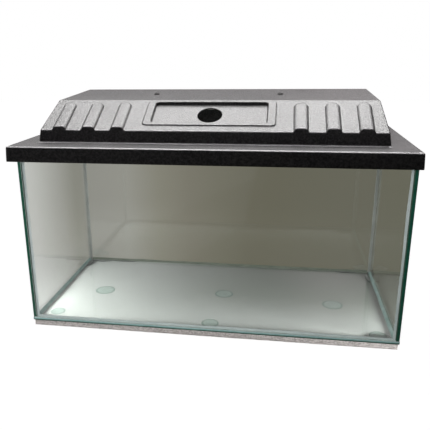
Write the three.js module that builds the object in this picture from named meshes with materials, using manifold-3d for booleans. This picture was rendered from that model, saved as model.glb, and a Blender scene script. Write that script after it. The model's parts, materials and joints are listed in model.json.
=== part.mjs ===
// Glass small-animal tank with a lift-off moulded hood.
// Millimetres, +Z up, front towards -Y. The origin is the centre of the
// footprint, on the underside of the foam mat.
import * as THREE from 'three';
import { mergeVertices } from 'three/addons/utils/BufferGeometryUtils.js';
import Module from 'manifold-3d';

const wasm = await Module();
wasm.setup();
const { Manifold, Mesh: ManifoldMesh } = wasm;

// ---------------------------------------------------------------- dimensions
const GAP = 0.3;            // clearance between touching pieces

// tank
const TANK_X = 4.5;         // the hood sits this far off the tank's centre
const TANK_W = 601;         // outer width of the glass
const TANK_D = 290;         // outer depth of the glass
const GLASS = 5;            // wall pane thickness
const FOAM_T = 9.7;         // mat thickness
const FOAM_INSET = 1;       // mat is this much shorter than the glass on each side
const BASE_Z = 10;          // underside of the floor glass
const BASE_T = 5;           // floor glass thickness
const WALL_Z = BASE_Z + BASE_T + GAP;
const RIM_Z = 308.2;        // top of the wall panes
const SEAL = 5;             // leg of the silicone fillets
const DAB_T = 0.7;          // adhesive dabs between mat and floor glass
const DABS = [              // [x, y] from the tank's centre, and radius
  [-212.7, -14, 18.8], [13.8, 0, 17.5], [209.3, -20, 18.6],
  [-268.7, -112, 13], [2.3, -119, 15], [271.3, -124, 14.5],
];

// hood
const WALL = 2.5;           // moulding thickness
const SKIRT_X = 309.5;       // half width at the skirt
const SKIRT_Y = 156.4;       // half depth at the skirt
const SKIRT_R = 3;          // plan corner radius
const SKIRT_LEAN = 0.05;    // the skirt's walls lean in by this much per millimetre of height
const SKIRT_Z = 287;        // bottom edge of the skirt
const FLANGE_Z = 311;     // top face of the rim flange
const BODY_X = 270.8;        // half width of the raised body at the flange
const BODY_Y0 = -114.2;     // front and back of the raised body at the flange
const BODY_Y1 = 127.8;
const BODY_R = 3;          // plan corner radius at the flange, tighter higher up
const DRAFT = 0.145;         // wall lean, horizontal per vertical
const FASCIA_Z = 331.4;       // top of the upright fascia
const CREASE_Y = -36.4;       // where the slope meets the roof
const CREASE_Z = 371;
const ROOF_Y = 118;         // rear edge of the roof
const ROOF_Z = 378.2;
const RIB_X = [-236, -188.4, -140.8, 140.8, 188.4, 236];
const RIB_W = 20;
const RIB_END = 73.5;         // distance up the slope to the rounded end
const RIB_H = 4.6;
const FRAME_X = 103.5;      // raised frame, half width
const FRAME_S = [13.4, 79.3];
const FRAME_H = 2;
const RECESS_X = 90.5;
const RECESS_S = [20.2, 75.4];
const RECESS_DEPTH = 2.8;   // below the slope
const HOLE_R = 19.5;
const HOLE_S = 46.5;
const SCREW_X = 108;
const SCREW_Y = 36.5;
const SCREW_R = 2.4;
const SCREW_HOLE_R = 2.8;
const HEAD_R = 4.9;
const HEAD_H = 3.1;

// light batten under the roof
const BATTEN_X = 165;       // half length
const BATTEN_W = 40;
const BATTEN_H = 17;
const BATTEN_T = 1.4;

// ------------------------------------------------------------------- helpers
const V = (x, y, z) => new THREE.Vector3(x, y, z);

function solid(geometry) {
  let g = geometry.clone();
  g.deleteAttribute('normal');
  g.deleteAttribute('uv');
  g = mergeVertices(g, 1e-5);
  const index = g.index.array;
  return new Manifold(new ManifoldMesh({
    numProp: 3,
    vertProperties: new Float32Array(g.attributes.position.array),
    triVerts: new Uint32Array(index),
  }));
}

function geometryOf(manifold) {
  const mesh = manifold.getMesh();
  const g = new THREE.BufferGeometry();
  g.setAttribute('position', new THREE.BufferAttribute(new Float32Array(mesh.vertProperties), 3));
  g.setIndex(new THREE.BufferAttribute(new Uint32Array(mesh.triVerts), 1));
  return g;
}

function roundedRect(x0, y0, x1, y1, r, segments = 4) {
  const pts = [];
  const corner = (cx, cy, a0) => {
    for (let i = 0; i <= segments; i++) {
      const a = a0 + (i / segments) * Math.PI / 2;
      pts.push(new THREE.Vector2(cx + r * Math.cos(a), cy + r * Math.sin(a)));
    }
  };
  corner(x1 - r, y1 - r, 0);
  corner(x0 + r, y1 - r, Math.PI / 2);
  corner(x0 + r, y0 + r, Math.PI);
  corner(x1 - r, y0 + r, 1.5 * Math.PI);
  return pts;
}

// straight prism of an outline in XY, from z0 to z1
function prism(points, z0, z1) {
  const g = new THREE.ExtrudeGeometry(new THREE.Shape(points), {
    depth: z1 - z0, bevelEnabled: false, steps: 1,
  });
  g.translate(0, 0, z0);
  return g;
}

// straight prism along X of an outline given as [y, z] pairs
function prismX(points, x0, x1) {
  const g = prism(points.map(([y, z]) => new THREE.Vector2(y, z)), x0, x1);
  g.applyMatrix4(new THREE.Matrix4().makeBasis(V(0, 1, 0), V(0, 0, 1), V(1, 0, 0)));
  return g;
}

// frustum: a rounded rectangle whose walls lean in with height; its corner
// radius is r at zRef and rTop at z1
function frustum(x, y0, y1, r, rTop, lean, zRef, z0, z1) {
  const rect = (z) => {
    const t = (z - zRef) * lean;
    const k = (z - zRef) / (z1 - zRef);
    return { x: x - t, y0: y0 + t, y1: y1 - t, r: r + (rTop - r) * k };
  };
  const a = rect(z0);
  const b = rect(z1);
  const g = prism(roundedRect(-a.x, a.y0, a.x, a.y1, a.r), 0, 1);
  const lower = roundedRect(-a.x, a.y0, a.x, a.y1, a.r);
  const upper = roundedRect(-b.x, b.y0, b.x, b.y1, b.r);
  const p = g.attributes.position;
  for (let i = 0; i < p.count; i++) {
    const px = p.getX(i);
    const py = p.getY(i);
    let best = 0;
    let bestD = Infinity;
    lower.forEach((q, k) => {
      const d = (q.x - px) ** 2 + (q.y - py) ** 2;
      if (d < bestD) { bestD = d; best = k; }
    });
    const top = p.getZ(i) > 0.5;
    const q = top ? upper[best] : lower[best];
    p.setXYZ(i, q.x, q.y, top ? z1 : z0);
  }
  return g;
}

const group = new THREE.Group();
const tank = new THREE.Group();
const hood = new THREE.Group();
tank.position.set(TANK_X, 0, 0);
group.add(tank, hood);

function add(parent, name, geometry, color, roughness, metalness = 0, extra = {}) {
  const material = new THREE.MeshStandardMaterial({ color, roughness, metalness, ...extra });
  const mesh = new THREE.Mesh(geometry, material);
  mesh.name = name;
  parent.add(mesh);
  return mesh;
}

// ---------------------------------------------------------------------- tank
const glass = { transparent: true, opacity: 0.35 };
const W2 = TANK_W / 2;
const D2 = TANK_D / 2;

function box(x0, y0, z0, x1, y1, z1) {
  const g = new THREE.BoxGeometry(x1 - x0, y1 - y0, z1 - z0);
  g.translate((x0 + x1) / 2, (y0 + y1) / 2, (z0 + z1) / 2);
  return g;
}

add(tank, 'base_pane', box(-W2 - 0.5, -D2 - 0.5, BASE_Z, W2 + 0.5, D2 + 0.5, BASE_Z + BASE_T), 0xa9c4bd, 0.05, 0, glass);
add(tank, 'left_pane', box(-W2, -D2, WALL_Z, -W2 + GLASS, D2, RIM_Z), 0xa9c4bd, 0.05, 0, glass);
add(tank, 'right_pane', box(W2 - GLASS, -D2, WALL_Z, W2, D2, RIM_Z), 0xa9c4bd, 0.05, 0, glass);
const PANE_X = W2 - GLASS - GAP;
add(tank, 'front_pane', box(-PANE_X, -D2, WALL_Z, PANE_X, -D2 + GLASS, RIM_Z), 0xa9c4bd, 0.05, 0, glass);
add(tank, 'back_pane', box(-PANE_X, D2 - GLASS, WALL_Z, PANE_X, D2, RIM_Z), 0xa9c4bd, 0.05, 0, glass);

// silicone fillet: concave triangle with its right angle at the origin
function filletOutline(sx, sy) {
  const pts = [new THREE.Vector2(0, 0)];
  const n = 5;
  for (let i = 0; i <= n; i++) {
    const a = (i / n) * Math.PI / 2;
    const x = SEAL - 0.72 * SEAL * Math.sin(a);
    const y = SEAL - 0.72 * SEAL * Math.cos(a);
    pts.push(new THREE.Vector2(i === n ? 0 : x, i === 0 ? 0 : y));
  }
  const out = pts.map((p) => new THREE.Vector2(p.x * sx, p.y * sy));
  return sx * sy < 0 ? out.reverse() : out;
}
const IN_X = W2 - GLASS - GAP;     // seal faces, just off the inner faces
const IN_Y = D2 - GLASS - GAP;
const sealColor = 0xbfc8c4;
for (const [sx, sy, name] of [
  [-1, -1, 'corner_seal_front_left'], [1, -1, 'corner_seal_front_right'],
  [-1, 1, 'corner_seal_back_left'], [1, 1, 'corner_seal_back_right'],
]) {
  const g = prism(filletOutline(-sx, -sy), WALL_Z, RIM_Z - 1);
  g.translate(sx * IN_X, sy * IN_Y, 0);
  add(tank, name, g, sealColor, 0.4);
}
const SEAL_X = IN_X - SEAL - GAP;
const SEAL_Y = IN_Y - SEAL - GAP;
const SEAL_Z = BASE_Z + BASE_T + GAP;
for (const [sy, name] of [[-1, 'floor_seal_front'], [1, 'floor_seal_back']]) {
  const outline = filletOutline(-sy, 1).map((p) => [p.x, p.y]);
  const g = prismX(outline, -SEAL_X, SEAL_X);
  g.translate(0, sy * IN_Y, SEAL_Z);
  add(tank, name, g, sealColor, 0.4);
}
for (const [sx, name] of [[-1, 'floor_seal_left'], [1, 'floor_seal_right']]) {
  const g = prism(filletOutline(-sx, 1), -SEAL_Y, SEAL_Y);
  g.applyMatrix4(new THREE.Matrix4().makeBasis(V(1, 0, 0), V(0, 0, 1), V(0, -1, 0)));
  g.translate(sx * IN_X, 0, SEAL_Z);
  add(tank, name, g, sealColor, 0.4);
}

// mat with a shallow pocket pressed in by each dab
let mat = solid(box(-W2 + FOAM_INSET, -D2 + FOAM_INSET, 0, W2 - FOAM_INSET, D2 - FOAM_INSET, FOAM_T));
const pocketDepth = DAB_T + 0.3;
DABS.forEach(([x, y, r], i) => {
  const pocket = new THREE.CylinderGeometry(r + 0.4, r + 0.4, pocketDepth + 2, 28);
  pocket.rotateX(Math.PI / 2);
  pocket.translate(x, y, FOAM_T - pocketDepth + (pocketDepth + 2) / 2);
  mat = mat.subtract(solid(pocket));
  const dab = new THREE.CylinderGeometry(r, r, DAB_T, 28);
  dab.rotateX(Math.PI / 2);
  dab.translate(x, y, FOAM_T - DAB_T / 2);
  add(tank, `adhesive_dab_${i + 1}`, dab, 0xc9d2cc, 0.5);
});
add(tank, 'foam_mat', geometryOf(mat), 0x9a8e8b, 0.95);

// ---------------------------------------------------------------------- hood
const slopeRun = CREASE_Y - (BODY_Y0 + (FASCIA_Z - FLANGE_Z) * DRAFT);
const SLOPE_Y = BODY_Y0 + (FASCIA_Z - FLANGE_Z) * DRAFT;
const slopeAngle = Math.atan2(CREASE_Z - FASCIA_Z, slopeRun);
const roofAngle = Math.atan2(ROOF_Z - CREASE_Z, ROOF_Y - CREASE_Y);
const slopeZ = (y) => FASCIA_Z + (y - SLOPE_Y) * Math.tan(slopeAngle);
const roofZ = (y) => CREASE_Z + (y - CREASE_Y) * Math.tan(roofAngle);

// outline of the body seen from the side, lowered by d along each face's normal
function sideProfile(d) {
  const ds = d / Math.cos(slopeAngle);
  const dr = d / Math.cos(roofAngle);
  const ts = Math.tan(slopeAngle);
  const tr = Math.tan(roofAngle);
  // crossing of the two lowered lines
  const y = ((CREASE_Z - dr - CREASE_Y * tr) - (FASCIA_Z - ds - SLOPE_Y * ts)) / (ts - tr);
  const yA = SLOPE_Y - 30;
  const yB = ROOF_Y + 30;
  return [[yA, 290], [yB, 290], [yB, roofZ(yB) - dr], [y, roofZ(y) - dr], [yA, slopeZ(yA) - ds]];
}

// slope frame: x across, y up the slope, z out along its normal
const slopeMatrix = new THREE.Matrix4()
  .makeRotationX(slopeAngle)
  .setPosition(0, SLOPE_Y, FASCIA_Z);
function onSlope(points, n0, n1) {
  const g = prism(points, n0, n1);
  g.applyMatrix4(slopeMatrix);
  return solid(g);
}

function ribOutline(cx, inset) {
  const r = RIB_W / 2 - inset;
  const pts = [new THREE.Vector2(cx - r, -25), new THREE.Vector2(cx + r, -25)];
  const n = 10;
  for (let i = 0; i <= n; i++) {
    const a = (i / n) * Math.PI;
    pts.push(new THREE.Vector2(cx + r * Math.cos(a), RIB_END - RIB_W / 2 + r * Math.sin(a)));
  }
  return pts;
}

const bodyTall = solid(frustum(BODY_X, BODY_Y0, BODY_Y1, BODY_R, 0.5, DRAFT, FLANGE_Z, FLANGE_Z - 1.2, 400));
const cavityTall = solid(frustum(
  BODY_X - WALL, BODY_Y0 + WALL, BODY_Y1 - WALL, BODY_R - WALL, 0.4, DRAFT, FLANGE_Z, 300, 396,
));
const skirtOuter = solid(frustum(
  SKIRT_X, -SKIRT_Y, SKIRT_Y, SKIRT_R, SKIRT_R, SKIRT_LEAN, SKIRT_Z, SKIRT_Z, FLANGE_Z,
));
const skirtInner = solid(frustum(
  SKIRT_X - WALL, -SKIRT_Y + WALL, SKIRT_Y - WALL, SKIRT_R - WALL, SKIRT_R - WALL,
  SKIRT_LEAN, SKIRT_Z, SKIRT_Z - 5, FLANGE_Z - WALL,
));

let outer = solid(prismX(sideProfile(0), -320, 320));
let inner = solid(prismX(sideProfile(WALL), -320, 320));
for (const x of RIB_X) {
  outer = outer.add(onSlope(ribOutline(x, 0), -3, RIB_H));
  inner = inner.add(onSlope(ribOutline(x, WALL), -6, RIB_H - WALL));
}
const frameOutline = roundedRect(-FRAME_X, FRAME_S[0], FRAME_X, FRAME_S[1], 7);
outer = outer.add(onSlope(frameOutline, -3, FRAME_H));
const recess = (grow, n0, n1) => onSlope(roundedRect(
  -RECESS_X - grow, RECESS_S[0] - grow, RECESS_X + grow, RECESS_S[1] + grow, 6 + grow,
), n0, n1);
outer = outer.subtract(recess(0, -RECESS_DEPTH, 12));
inner = inner.subtract(recess(WALL, -RECESS_DEPTH - WALL, 12));

const bodyOuter = bodyTall.intersect(outer);
const bodyInner = cavityTall.intersect(inner);
let shell = skirtOuter.add(bodyOuter).subtract(skirtInner).subtract(bodyInner);

const hole = [];
for (let i = 0; i < 40; i++) {
  const a = (i / 40) * 2 * Math.PI;
  hole.push(new THREE.Vector2(HOLE_R * Math.cos(a), HOLE_S + HOLE_R * Math.sin(a)));
}
shell = shell.subtract(onSlope(hole, -12, 8));

// roof frame at each screw: z out along the roof's normal, 0 on the top face
const roofFrame = (x) => new THREE.Matrix4()
  .makeRotationX(roofAngle)
  .setPosition(x, SCREW_Y, roofZ(SCREW_Y));
for (const x of [-SCREW_X, SCREW_X]) {
  const g = new THREE.CylinderGeometry(SCREW_HOLE_R, SCREW_HOLE_R, 12, 20);
  g.rotateX(Math.PI / 2);
  g.applyMatrix4(roofFrame(x));
  shell = shell.subtract(solid(g));
}
add(hood, 'hood_shell', geometryOf(shell), 0x17171a, 0.42);

// everything below hangs in roof frames
function lathe(profile, segments) {
  const g = new THREE.LatheGeometry(profile.map(([r, z]) => new THREE.Vector2(r, z)), segments);
  g.rotateX(Math.PI / 2);
  return g;
}
const WEB_TOP = -WALL - GAP;
const WASHER_TOP = WEB_TOP - BATTEN_T - GAP;
const NUT_TOP = WASHER_TOP - 1 - GAP;
for (const [x, side] of [[-SCREW_X, 'left'], [SCREW_X, 'right']]) {
  const frame = new THREE.Group();
  frame.applyMatrix4(roofFrame(x));
  hood.add(frame);
  const head = [[0, NUT_TOP - 6.5], [SCREW_R, NUT_TOP - 6.5], [SCREW_R, GAP], [HEAD_R, GAP]];
  for (let i = 1; i <= 6; i++) {
    const a = (i / 6) * Math.PI / 2;
    head.push([HEAD_R * Math.cos(a), GAP + 0.5 + (HEAD_H - 0.5) * Math.sin(a)]);
  }
  head[head.length - 1][0] = 0;
  head.splice(4, 0, [HEAD_R, GAP + 0.5]);
  add(frame, `roof_screw_${side}`, lathe(head, 20), 0x8d8d8d, 0.3, 0.9);
  add(frame, `screw_washer_${side}`, lathe([
    [SCREW_R + 0.3, WASHER_TOP - 1], [5.2, WASHER_TOP - 1], [5.2, WASHER_TOP],
    [SCREW_R + 0.3, WASHER_TOP], [SCREW_R + 0.3, WASHER_TOP - 1],
  ], 20), 0xb0b0b0, 0.35, 0.9);
  const hex = [];
  for (let i = 0; i < 6; i++) hex.push(new THREE.Vector2(4.4 * Math.cos(i * Math.PI / 3), 4.4 * Math.sin(i * Math.PI / 3)));
  let nut = solid(prism(hex, NUT_TOP - 3.6, NUT_TOP));
  const bore = new THREE.CylinderGeometry(SCREW_R + 0.3, SCREW_R + 0.3, 8, 20);
  bore.rotateX(Math.PI / 2);
  bore.translate(0, 0, NUT_TOP - 2);
  nut = nut.subtract(solid(bore));
  add(frame, `screw_nut_${side}`, geometryOf(nut), 0xb0b0b0, 0.35, 0.9);
}

const lamp = new THREE.Group();
lamp.applyMatrix4(roofFrame(0));
hood.add(lamp);
const bw = BATTEN_W / 2;
const bTop = WEB_TOP;
const bBottom = WEB_TOP - BATTEN_H;
let channel = solid(prismX([
  [-bw + 3, bTop], [-bw, bTop - 3], [-bw, bBottom], [-bw + BATTEN_T, bBottom],
  [-bw + BATTEN_T, bTop - 3.5], [-bw + 3.5, bTop - BATTEN_T],
  [bw - 3.5, bTop - BATTEN_T], [bw - BATTEN_T, bTop - 3.5], [bw - BATTEN_T, bBottom],
  [bw, bBottom], [bw, bTop - 3], [bw - 3, bTop],
].reverse(), -BATTEN_X, BATTEN_X));
for (const x of [-SCREW_X, SCREW_X]) {
  const g = new THREE.CylinderGeometry(SCREW_HOLE_R, SCREW_HOLE_R, 8, 20);
  g.rotateX(Math.PI / 2);
  g.translate(x, 0, bTop);
  channel = channel.subtract(solid(g));
}
add(lamp, 'light_batten', geometryOf(channel), 0xe4e4e0, 0.45);
add(lamp, 'led_board', box(-92, -9, bTop - BATTEN_T - GAP - 1.6, 92, 9, bTop - BATTEN_T - GAP), 0xdfe3dc, 0.5);
// bowed lens that closes the channel's mouth from inside its side walls
const lens = [];
const lr = bw - BATTEN_T - GAP;
const n = 12;
for (let i = 0; i <= n; i++) {
  const a = Math.PI + (i / n) * Math.PI;
  lens.push([lr * Math.cos(a), bBottom + 2 + 8 * Math.sin(a)]);
}
for (let i = n; i >= 0; i--) {
  const a = Math.PI + (i / n) * Math.PI;
  lens.push([(lr - 1.3) * Math.cos(a), bBottom + 3.2 + 7.2 * Math.sin(a)]);
}
add(lamp, 'light_diffuser', prismX(lens, -BATTEN_X + 0.5, BATTEN_X - 0.5), 0xf1f1ec, 0.4);
for (const [s, side] of [[-1, 'left'], [1, 'right']]) {
  const outline = [
    [-bw + 3, bTop], [-bw, bTop - 3], [-bw, bBottom - 2], [-bw + 5, bBottom - 6.5],
    [bw - 5, bBottom - 6.5], [bw, bBottom - 2], [bw, bTop - 3], [bw - 3, bTop],
  ].reverse();
  const x0 = s > 0 ? BATTEN_X + GAP : -BATTEN_X - GAP - 3;
  let cap = solid(prismX(outline, x0, x0 + 3));
  if (s > 0) { // barrel socket of the lamp's lead
    const socket = new THREE.CylinderGeometry(2.8, 2.8, 2, 20);
    socket.rotateZ(Math.PI / 2);
    socket.translate(x0 + 3, 0, bTop - 9);
    cap = cap.subtract(solid(socket));
  }
  add(lamp, `batten_end_cap_${side}`, geometryOf(cap), 0xd8d8d4, 0.5);
}

export default group;
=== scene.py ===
import json
import math

import bmesh
import bpy
import numpy as np
from mathutils import Matrix, Vector, noise

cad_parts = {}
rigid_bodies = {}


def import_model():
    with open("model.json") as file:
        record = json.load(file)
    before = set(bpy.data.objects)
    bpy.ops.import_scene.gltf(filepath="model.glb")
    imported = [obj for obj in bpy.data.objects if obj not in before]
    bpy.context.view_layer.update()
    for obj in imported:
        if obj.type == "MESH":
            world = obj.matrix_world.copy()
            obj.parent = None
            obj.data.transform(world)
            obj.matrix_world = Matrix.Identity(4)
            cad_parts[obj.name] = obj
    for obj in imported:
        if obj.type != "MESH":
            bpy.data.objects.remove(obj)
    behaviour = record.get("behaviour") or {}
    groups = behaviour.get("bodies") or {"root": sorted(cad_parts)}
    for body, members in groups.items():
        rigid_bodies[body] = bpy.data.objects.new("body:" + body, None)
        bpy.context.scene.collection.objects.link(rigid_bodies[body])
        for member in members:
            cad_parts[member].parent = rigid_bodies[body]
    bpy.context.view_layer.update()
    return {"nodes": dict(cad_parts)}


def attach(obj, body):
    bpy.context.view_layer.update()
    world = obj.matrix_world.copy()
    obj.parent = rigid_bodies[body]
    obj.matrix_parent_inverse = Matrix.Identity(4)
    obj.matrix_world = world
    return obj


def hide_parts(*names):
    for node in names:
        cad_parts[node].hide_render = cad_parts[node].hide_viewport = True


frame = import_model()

MM = 0.001

# ------------------------------------------------------------- dimensions, mm
TANK_X = 4.5
TANK_W, TANK_D, GLASS = 601.0, 290.0, 5.0
BASE_Z, BASE_T, WALL_Z, RIM_Z = 10.0, 5.0, 15.3, 308.2
FOAM_T, FOAM_INSET = 9.7, 1.0
DABS = [(-212.7, -14, 18.8), (13.8, 0, 17.5), (209.3, -20, 18.6), (-268.7, -112, 13), (2.3, -119, 15), (271.3, -124, 14.5)]

WALL = 2.5
SKIRT_X, SKIRT_Y, SKIRT_R, SKIRT_Z, SKIRT_LEAN = 309.5, 156.4, 3.0, 287.0, 0.05
FLANGE_Z = 311.0
BODY_X, BODY_Y0, BODY_Y1, BODY_R = 270.8, -114.2, 127.8, 3.0
DRAFT = 0.145
BODY_TIGHTEN = (BODY_R - 0.5) / (400 - FLANGE_Z)     # the plan corners get tighter with height
FASCIA_Z, CREASE_Y, CREASE_Z, ROOF_Y, ROOF_Z = 331.4, -36.4, 371.0, 118.0, 378.2
RIB_X = (-236.0, -188.9, -141.5, 141.5, 188.9, 236.0)
RIB_W, RIB_END, RIB_H = 20.4, 73.5, 4.6
FRAME_X, FRAME_S, FRAME_H = 103.5, (13.4, 79.3), 2.0
RECESS_X, RECESS_S, RECESS_DEPTH = 90.5, (20.2, 75.4), 2.8
HOLE_R, HOLE_S = 19.5, 46.5
SCREW_X, SCREW_Y, SCREW_HOLE_R = 108.0, 36.5, 2.8

SLOPE_Y = BODY_Y0 + (FASCIA_Z - FLANGE_Z) * DRAFT
ALPHA = math.atan2(CREASE_Z - FASCIA_Z, CREASE_Y - SLOPE_Y)
BETA = math.atan2(ROOF_Z - CREASE_Z, ROOF_Y - CREASE_Y)
SLOPE_L = math.hypot(CREASE_Z - FASCIA_Z, CREASE_Y - SLOPE_Y)

PANEL_W = 59.0


# ------------------------------------------------------------------- camera
def make_camera():
    cam = bpy.data.cameras.new("camera")
    ob = bpy.data.objects.new("camera", cam)
    bpy.context.scene.collection.objects.link(ob)
    right = Vector((0.9857746, 0.16749408, -0.01393447))
    up = Vector((-0.03803774, 0.30308589, 0.9522038))
    back = Vector((0.16371183, -0.93812828, 0.30514547))
    m = Matrix((right, up, back)).transposed().to_4x4()
    m.translation = Vector((0.1127925, -0.94909445, 0.44993233))
    ob.matrix_world = m
    cam.sensor_width = 36.0
    cam.lens = 46.337843
    cam.shift_x = 0.0675365
    cam.shift_y = 0.0276703
    cam.clip_start, cam.clip_end = 0.01, 50.0
    bpy.context.scene.camera = ob


make_camera()


# ------------------------------------------------------------ small helpers
def mesh_object(name, verts, faces, mats, mat_index=None, smooth=True, sharp=None):
    """verts in mm in the part's frame; faces is a list of index tuples."""
    me = bpy.data.meshes.new(name)
    me.from_pydata([tuple(v) for v in (np.asarray(verts, float) * MM)], [], faces)
    me.validate(verbose=False)
    for m in mats:
        me.materials.append(m)
    if mat_index is not None:
        me.polygons.foreach_set("material_index", np.asarray(mat_index, np.int32))
    me.polygons.foreach_set("use_smooth", np.full(len(me.polygons), smooth, bool))
    if smooth and sharp is not None:
        me.set_sharp_from_angle(angle=math.radians(sharp))
    me.update()
    ob = bpy.data.objects.new(name, me)
    bpy.context.scene.collection.objects.link(ob)
    return ob


class Nodes:
    """Short hand for building a material's node tree."""

    def __init__(self, name):
        self.mat = bpy.data.materials.new(name)
        self.mat.use_nodes = True
        self.tree = self.mat.node_tree
        self.tree.nodes.clear()
        self.out = self.add("ShaderNodeOutputMaterial")
        self.coord = None

    def add(self, kind, **inputs):
        n = self.tree.nodes.new(kind)
        for k, v in inputs.items():
            if hasattr(n, k) and k not in n.inputs:
                setattr(n, k, v)
        return n

    def set(self, node, **values):
        for k, v in values.items():
            key = k.replace("_", " ")
            sock = node.inputs[key] if key in node.inputs else node.inputs[k]
            sock.default_value = v
        return node

    def link(self, a, b):
        self.tree.links.new(a, b)

    def object_coords(self):
        if self.coord is None:
            self.coord = self.add("ShaderNodeTexCoord")
        return self.coord.outputs["Object"]

    def noise(self, scale, detail=2.0, rough=0.5, vector=None, distortion=0.0):
        n = self.add("ShaderNodeTexNoise")
        n.inputs["Scale"].default_value = scale
        n.inputs["Detail"].default_value = detail
        n.inputs["Roughness"].default_value = rough
        n.inputs["Distortion"].default_value = distortion
        self.link(vector or self.object_coords(), n.inputs["Vector"])
        return n.outputs["Fac"]

    def voronoi(self, scale, feature="F1", vector=None, out="Distance", randomness=1.0):
        n = self.add("ShaderNodeTexVoronoi")
        n.feature = feature
        n.inputs["Scale"].default_value = scale
        n.inputs["Randomness"].default_value = randomness
        self.link(vector or self.object_coords(), n.inputs["Vector"])
        return n.outputs[out]

    def ramp(self, fac, stops, interpolation="LINEAR"):
        n = self.add("ShaderNodeValToRGB")
        n.color_ramp.interpolation = interpolation
        el = n.color_ramp.elements
        while len(el) > 1:
            el.remove(el[-1])
        el[0].position = stops[0][0]
        el[0].color = tuple(stops[0][1]) + (1.0,)
        for pos, col in stops[1:]:
            e = el.new(pos)
            e.color = tuple(col) + (1.0,)
        self.link(fac, n.inputs["Fac"])
        return n.outputs["Color"]

    def map(self, value, a0, a1, b0, b1, clamp=True, smooth=False):
        n = self.add("ShaderNodeMapRange")
        n.clamp = clamp
        if smooth:
            n.interpolation_type = "SMOOTHSTEP"
        n.inputs["From Min"].default_value = a0
        n.inputs["From Max"].default_value = a1
        n.inputs["To Min"].default_value = b0
        n.inputs["To Max"].default_value = b1
        self.link(value, n.inputs["Value"])
        return n.outputs["Result"]

    def math(self, op, a, b=None, c=None):
        n = self.add("ShaderNodeMath")
        n.operation = op
        for i, v in enumerate((a, b, c)):
            if v is None:
                continue
            if isinstance(v, (int, float)):
                n.inputs[i].default_value = v
            else:
                self.link(v, n.inputs[i])
        return n.outputs[0]

    def mix(self, fac, a, b, blend="MIX"):
        n = self.add("ShaderNodeMix")
        n.data_type = "RGBA"
        n.blend_type = blend
        for name, v in (("Factor", fac), ("A", a), ("B", b)):
            socks = [s for s in n.inputs if s.name == name and s.enabled]
            sock = socks[0]
            if isinstance(v, (int, float)):
                sock.default_value = v
            elif isinstance(v, tuple):
                sock.default_value = v + (1.0,)
            else:
                self.link(v, sock)
        return [s for s in n.outputs if s.enabled][0]

    def xyz(self, vector=None):
        n = self.add("ShaderNodeSeparateXYZ")
        self.link(vector or self.object_coords(), n.inputs[0])
        return n.outputs[0], n.outputs[1], n.outputs[2]

    def bump(self, height, distance, strength=1.0, normal=None):
        n = self.add("ShaderNodeBump")
        n.inputs["Distance"].default_value = distance
        n.inputs["Strength"].default_value = strength
        self.link(height, n.inputs["Height"])
        if normal is not None:
            self.link(normal, n.inputs["Normal"])
        return n.outputs["Normal"]

    def principled(self, **values):
        p = self.add("ShaderNodeBsdfPrincipled")
        for k, v in values.items():
            key = k.replace("_", " ")
            if isinstance(v, (int, float, tuple)):
                p.inputs[key].default_value = v
            else:
                self.link(v, p.inputs[key])
        return p

    def surface(self, shader):
        self.link(shader.outputs[0], self.out.inputs["Surface"])
        return self.mat


# ---------------------------------------------------------------- materials
def mat_hood():
    n = Nodes("hood_grained_plastic")
    x, y, z = n.xyz()
    big = n.noise(9.0, 3.0, 0.55)
    mid = n.noise(70.0, 3.0, 0.6)
    grain = n.noise(760.0, 2.0, 0.7)
    pebble = n.voronoi(620.0, "SMOOTH_F1")
    colour = n.ramp(mid, [(0.3, (0.0085, 0.0080, 0.0090)), (0.7, (0.0155, 0.0145, 0.0155))])
    colour = n.mix(n.map(big, 0.35, 0.7, 0.0, 0.35), colour, (0.022, 0.019, 0.020))
    # pale specks of the grain
    coarse = n.noise(330.0, 2.0, 0.75)
    colour = n.mix(n.map(coarse, 0.44, 0.66, 0.0, 1.0), colour, (0.050, 0.048, 0.049))
    colour = n.mix(n.map(coarse, 0.28, 0.46, 1.0, 0.0), colour, (0.003, 0.003, 0.003))
    # painted highlight lines along the low edges: rounded rim, the ledge's foot and the slope's lower edge; the rim's
    # line fades towards the back
    geo = n.add("ShaderNodeNewGeometry")
    nx, ny, nz = n.xyz(geo.outputs["Normal"])
    rim_highlight = n.math("MULTIPLY", n.map(nz, 0.35, 0.60, 0.0, 1.0, smooth=True), n.map(nz, 0.90, 0.97, 1.0, 0.0, smooth=True))
    rim_highlight = n.math("MULTIPLY", rim_highlight, n.map(z, 0.3155, 0.3165, 1.0, 0.0))
    rim_highlight = n.math("MULTIPLY", rim_highlight, n.map(y, -0.13, 0.0, 1.0, 0.08, smooth=True))
    brow_highlight = n.math("MULTIPLY", n.map(nz, 0.45, 0.62, 0.0, 1.0, smooth=True), n.map(nz, 0.80, 0.86, 1.0, 0.0, smooth=True))
    brow_highlight = n.math("MULTIPLY", brow_highlight, n.map(n.math("ABSOLUTE", nx), 0.15, 0.35, 1.0, 0.0, smooth=True))
    brow_highlight = n.math("MULTIPLY", brow_highlight, n.map(ny, -0.62, -0.50, 1.0, 0.0, smooth=True))
    brow_highlight = n.math("MULTIPLY", brow_highlight, n.map(z, 0.342, 0.345, 1.0, 0.0))
    painted_edge_highlight = n.math("MULTIPLY", n.math("MAXIMUM", rim_highlight, n.math("MULTIPLY", brow_highlight, n.map(z, 0.322, 0.324, 0.0, 1.0))), n.map(grain, 0.32, 0.62, 0.55, 1.0))
    # the pale grey here is painted highlight on those edges
    colour = n.mix(painted_edge_highlight, colour, (0.33, 0.32, 0.33))
    rough = n.math("ADD", n.map(grain, 0.3, 0.7, 0.29, 0.51), n.map(big, 0.3, 0.7, -0.03, 0.04))
    h = n.math("ADD", n.math("MULTIPLY", grain, 1.0), n.math("MULTIPLY", pebble, 0.9))
    b = n.bump(h, 0.00048, 0.85)
    b = n.bump(n.noise(24.0, 2.0, 0.5), 0.0011, 0.25, b)
    p = n.principled(Base_Color=colour, Roughness=rough, IOR=1.5, Normal=b)
    return n.surface(p)


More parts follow.
